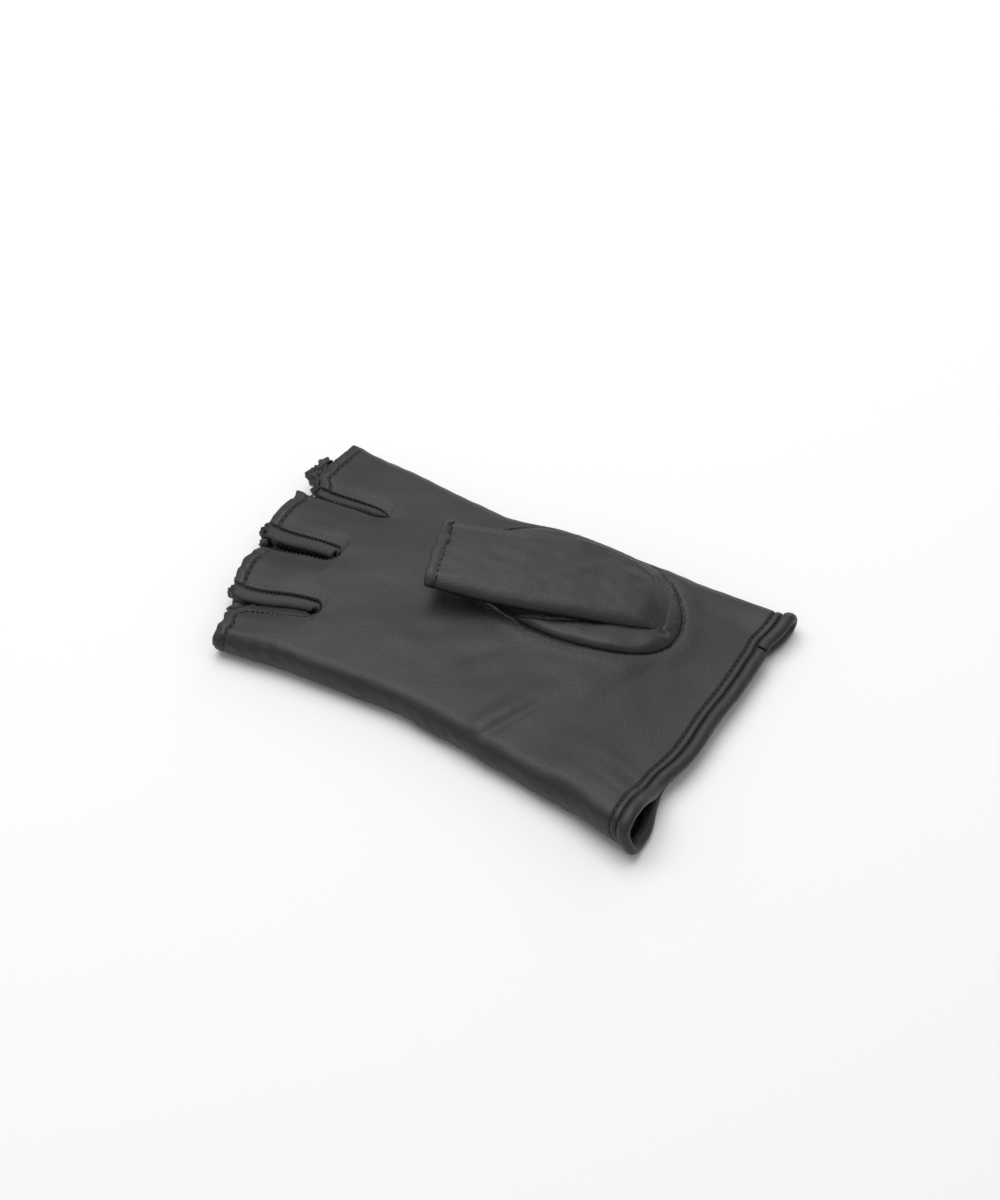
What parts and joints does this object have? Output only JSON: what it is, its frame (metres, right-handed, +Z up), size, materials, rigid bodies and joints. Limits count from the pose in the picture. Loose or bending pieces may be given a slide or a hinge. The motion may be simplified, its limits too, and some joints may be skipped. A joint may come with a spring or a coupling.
{
  "type": "fingerless glove",
  "caption": "Fingerless leather glove for a right hand, with open finger stubs, a set-in thumb stall and a bound cuff, that covers the palm and leaves the fingertips free.",
  "frame": {"origin": "under the middle of the glove, on the surface that it lies on", "axes": "+Y from the cuff to the fingers, +X towards the index side, +Z up, out of the palm"},
  "size_m": [0.098, 0.1496, 0.0238],
  "materials": {
    "nappa": "smooth black lambskin, satin, with a fine grain",
    "fourchette": "the same black lambskin, folded between the fingers",
    "binding": "black lambskin strip, satin, folded over the cuff's edge",
    "thread": "matt black sewing thread"
  },
  "bodies": {
    "glove": {"trank": "nappa", "cuff_binding": "binding", "fourchette_index_middle": "fourchette", "fourchette_middle_ring": "fourchette", "fourchette_ring_little": "fourchette", "thumb_gusset": "nappa", "cuff_stitch_inner": "thread", "cuff_stitch_outer": "thread", "hem_stitch_index": "thread", "hem_stitch_middle": "thread", "hem_stitch_ring": "thread", "hem_stitch_little": "thread", "seam_index_middle_palm": "thread", "seam_index_middle_back": "thread", "seam_middle_ring_palm": "thread", "seam_middle_ring_back": "thread", "seam_ring_little_palm": "thread", "seam_ring_little_back": "thread", "side_seam_stitch": "thread", "thumb_setting_stitch": "thread"},
    "thumb": {"thumb_stall": "nappa", "thumb_closing_stitch": "thread", "hem_stitch_thumb": "thread"}
  },
  "joints": [
    {"name": "thumb_fold", "type": "hinge", "parent": "glove", "child": "thumb", "pos_m": [0.04117, -0.04655, 0.012], "axis": [-0.312, 0.9488, 0.0488], "range_deg": [0, 85]}
  ]
}
